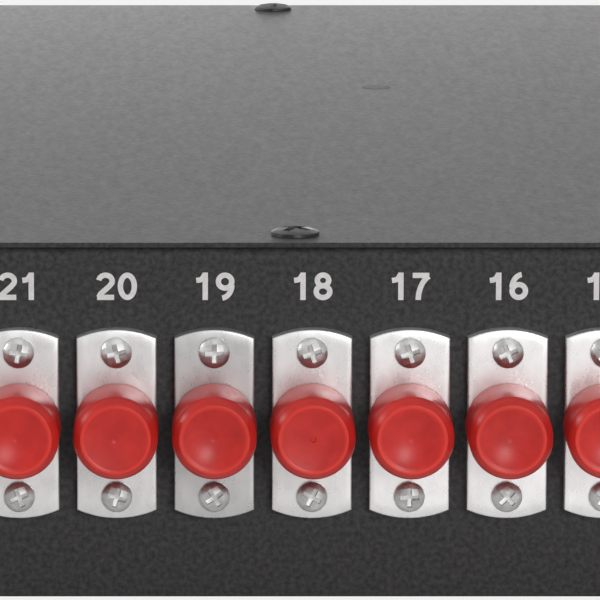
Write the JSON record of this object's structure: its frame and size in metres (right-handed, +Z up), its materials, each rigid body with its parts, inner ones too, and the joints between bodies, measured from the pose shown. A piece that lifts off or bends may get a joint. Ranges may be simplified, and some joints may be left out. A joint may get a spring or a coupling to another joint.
{
  "type": "rack-mount fibre optic splitter",
  "caption": "Rack-unit-high folded steel case with a row of flanged fibre adapters under red dust caps; splits one fibre input into many outputs.",
  "frame": {"origin": "centre of the rack hole pattern, on the front face of the ears and panel", "axes": "+X along the panel to the right, +Y back into the rack, +Z up"},
  "size_m": [0.4826, 0.2518, 0.0454],
  "materials": {
    "case_paint": "fine textured dark grey powder coat",
    "zinc_steel": "bright zinc plate",
    "black_screw": "black oxide",
    "nickel_plate": "satin nickel plate",
    "connector_metal": "satin nickel plate",
    "module_plastic": "matt moulded",
    "fibre_jacket": "satin jacket",
    "guide_plastic": "matt moulded",
    "cap_red": "satin soft plastic"
  },
  "bodies": {
    "case": {"chassis_tray": "case_paint", "front_panel": "case_paint", "top_cover": "case_paint", "cover_post": "zinc_steel", "left_ear": "case_paint", "right_ear": "case_paint", "cover_screws": "black_screw", "ear_screws": "black_screw", "fc_adapters": "nickel_plate", "adapter_screws": "zinc_steel", "rear_connectors": "connector_metal", "splitter_module": "module_plastic", "module_shelf": "zinc_steel", "shelf_screws": "zinc_steel", "module_strap": "zinc_steel", "strap_screws": "zinc_steel", "output_fibres": "fibre_jacket", "input_fibre": "fibre_jacket", "fibre_spool": "guide_plastic", "loom_clips": "guide_plastic", "input_clips": "guide_plastic"},
    "dust_cap_in": {"dust_cap_in": "cap_red"},
    "dust_cap_01": {"dust_cap_01": "cap_red"},
    "dust_cap_02": {"dust_cap_02": "cap_red"},
    "dust_cap_03": {"dust_cap_03": "cap_red"},
    "dust_cap_04": {"dust_cap_04": "cap_red"},
    "dust_cap_05": {"dust_cap_05": "cap_red"},
    "dust_cap_06": {"dust_cap_06": "cap_red"},
    "dust_cap_07": {"dust_cap_07": "cap_red"},
    "dust_cap_08": {"dust_cap_08": "cap_red"},
    "dust_cap_09": {"dust_cap_09": "cap_red"},
    "dust_cap_10": {"dust_cap_10": "cap_red"},
    "dust_cap_11": {"dust_cap_11": "cap_red"},
    "dust_cap_12": {"dust_cap_12": "cap_red"},
    "dust_cap_13": {"dust_cap_13": "cap_red"},
    "dust_cap_14": {"dust_cap_14": "cap_red"},
    "dust_cap_15": {"dust_cap_15": "cap_red"},
    "dust_cap_16": {"dust_cap_16": "cap_red"},
    "dust_cap_17": {"dust_cap_17": "cap_red"},
    "dust_cap_18": {"dust_cap_18": "cap_red"},
    "dust_cap_19": {"dust_cap_19": "cap_red"},
    "dust_cap_20": {"dust_cap_20": "cap_red"},
    "dust_cap_21": {"dust_cap_21": "cap_red"},
    "dust_cap_22": {"dust_cap_22": "cap_red"},
    "dust_cap_23": {"dust_cap_23": "cap_red"},
    "dust_cap_24": {"dust_cap_24": "cap_red"},
    "dust_cap_25": {"dust_cap_25": "cap_red"},
    "dust_cap_26": {"dust_cap_26": "cap_red"},
    "dust_cap_27": {"dust_cap_27": "cap_red"},
    "dust_cap_28": {"dust_cap_28": "cap_red"},
    "dust_cap_29": {"dust_cap_29": "cap_red"},
    "dust_cap_30": {"dust_cap_30": "cap_red"},
    "dust_cap_31": {"dust_cap_31": "cap_red"},
    "dust_cap_32": {"dust_cap_32": "cap_red"}
  },
  "joints": [
    {"name": "dust_cap_in_pull", "type": "slide", "parent": "case", "child": "dust_cap_in", "axis": [0, -1, 0], "range_m": [0, 0.02]},
    {"name": "dust_cap_01_pull", "type": "slide", "parent": "case", "child": "dust_cap_01", "axis": [0, -1, 0], "range_m": [0, 0.02]},
    {"name": "dust_cap_02_pull", "type": "slide", "parent": "case", "child": "dust_cap_02", "axis": [0, -1, 0], "range_m": [0, 0.02]},
    {"name": "dust_cap_03_pull", "type": "slide", "parent": "case", "child": "dust_cap_03", "axis": [0, -1, 0], "range_m": [0, 0.02]},
    {"name": "dust_cap_04_pull", "type": "slide", "parent": "case", "child": "dust_cap_04", "axis": [0, -1, 0], "range_m": [0, 0.02]},
    {"name": "dust_cap_05_pull", "type": "slide", "parent": "case", "child": "dust_cap_05", "axis": [0, -1, 0], "range_m": [0, 0.02]},
    {"name": "dust_cap_06_pull", "type": "slide", "parent": "case", "child": "dust_cap_06", "axis": [0, -1, 0], "range_m": [0, 0.02]},
    {"name": "dust_cap_07_pull", "type": "slide", "parent": "case", "child": "dust_cap_07", "axis": [0, -1, 0], "range_m": [0, 0.02]},
    {"name": "dust_cap_08_pull", "type": "slide", "parent": "case", "child": "dust_cap_08", "axis": [0, -1, 0], "range_m": [0, 0.02]},
    {"name": "dust_cap_09_pull", "type": "slide", "parent": "case", "child": "dust_cap_09", "axis": [0, -1, 0], "range_m": [0, 0.02]},
    {"name": "dust_cap_10_pull", "type": "slide", "parent": "case", "child": "dust_cap_10", "axis": [0, -1, 0], "range_m": [0, 0.02]},
    {"name": "dust_cap_11_pull", "type": "slide", "parent": "case", "child": "dust_cap_11", "axis": [0, -1, 0], "range_m": [0, 0.02]},
    {"name": "dust_cap_12_pull", "type": "slide", "parent": "case", "child": "dust_cap_12", "axis": [0, -1, 0], "range_m": [0, 0.02]},
    {"name": "dust_cap_13_pull", "type": "slide", "parent": "case", "child": "dust_cap_13", "axis": [0, -1, 0], "range_m": [0, 0.02]},
    {"name": "dust_cap_14_pull", "type": "slide", "parent": "case", "child": "dust_cap_14", "axis": [0, -1, 0], "range_m": [0, 0.02]},
    {"name": "dust_cap_15_pull", "type": "slide", "parent": "case", "child": "dust_cap_15", "axis": [0, -1, 0], "range_m": [0, 0.02]},
    {"name": "dust_cap_16_pull", "type": "slide", "parent": "case", "child": "dust_cap_16", "axis": [0, -1, 0], "range_m": [0, 0.02]},
    {"name": "dust_cap_17_pull", "type": "slide", "parent": "case", "child": "dust_cap_17", "axis": [0, -1, 0], "range_m": [0, 0.02]},
    {"name": "dust_cap_18_pull", "type": "slide", "parent": "case", "child": "dust_cap_18", "axis": [0, -1, 0], "range_m": [0, 0.02]},
    {"name": "dust_cap_19_pull", "type": "slide", "parent": "case", "child": "dust_cap_19", "axis": [0, -1, 0], "range_m": [0, 0.02]},
    {"name": "dust_cap_20_pull", "type": "slide", "parent": "case", "child": "dust_cap_20", "axis": [0, -1, 0], "range_m": [0, 0.02]},
    {"name": "dust_cap_21_pull", "type": "slide", "parent": "case", "child": "dust_cap_21", "axis": [0, -1, 0], "range_m": [0, 0.02]},
    {"name": "dust_cap_22_pull", "type": "slide", "parent": "case", "child": "dust_cap_22", "axis": [0, -1, 0], "range_m": [0, 0.02]},
    {"name": "dust_cap_23_pull", "type": "slide", "parent": "case", "child": "dust_cap_23", "axis": [0, -1, 0], "range_m": [0, 0.02]},
    {"name": "dust_cap_24_pull", "type": "slide", "parent": "case", "child": "dust_cap_24", "axis": [0, -1, 0], "range_m": [0, 0.02]},
    {"name": "dust_cap_25_pull", "type": "slide", "parent": "case", "child": "dust_cap_25", "axis": [0, -1, 0], "range_m": [0, 0.02]},
    {"name": "dust_cap_26_pull", "type": "slide", "parent": "case", "child": "dust_cap_26", "axis": [0, -1, 0], "range_m": [0, 0.02]},
    {"name": "dust_cap_27_pull", "type": "slide", "parent": "case", "child": "dust_cap_27", "axis": [0, -1, 0], "range_m": [0, 0.02]},
    {"name": "dust_cap_28_pull", "type": "slide", "parent": "case", "child": "dust_cap_28", "axis": [0, -1, 0], "range_m": [0, 0.02]},
    {"name": "dust_cap_29_pull", "type": "slide", "parent": "case", "child": "dust_cap_29", "axis": [0, -1, 0], "range_m": [0, 0.02]},
    {"name": "dust_cap_30_pull", "type": "slide", "parent": "case", "child": "dust_cap_30", "axis": [0, -1, 0], "range_m": [0, 0.02]},
    {"name": "dust_cap_31_pull", "type": "slide", "parent": "case", "child": "dust_cap_31", "axis": [0, -1, 0], "range_m": [0, 0.02]},
    {"name": "dust_cap_32_pull", "type": "slide", "parent": "case", "child": "dust_cap_32", "axis": [0, -1, 0], "range_m": [0, 0.02]}
  ]
}
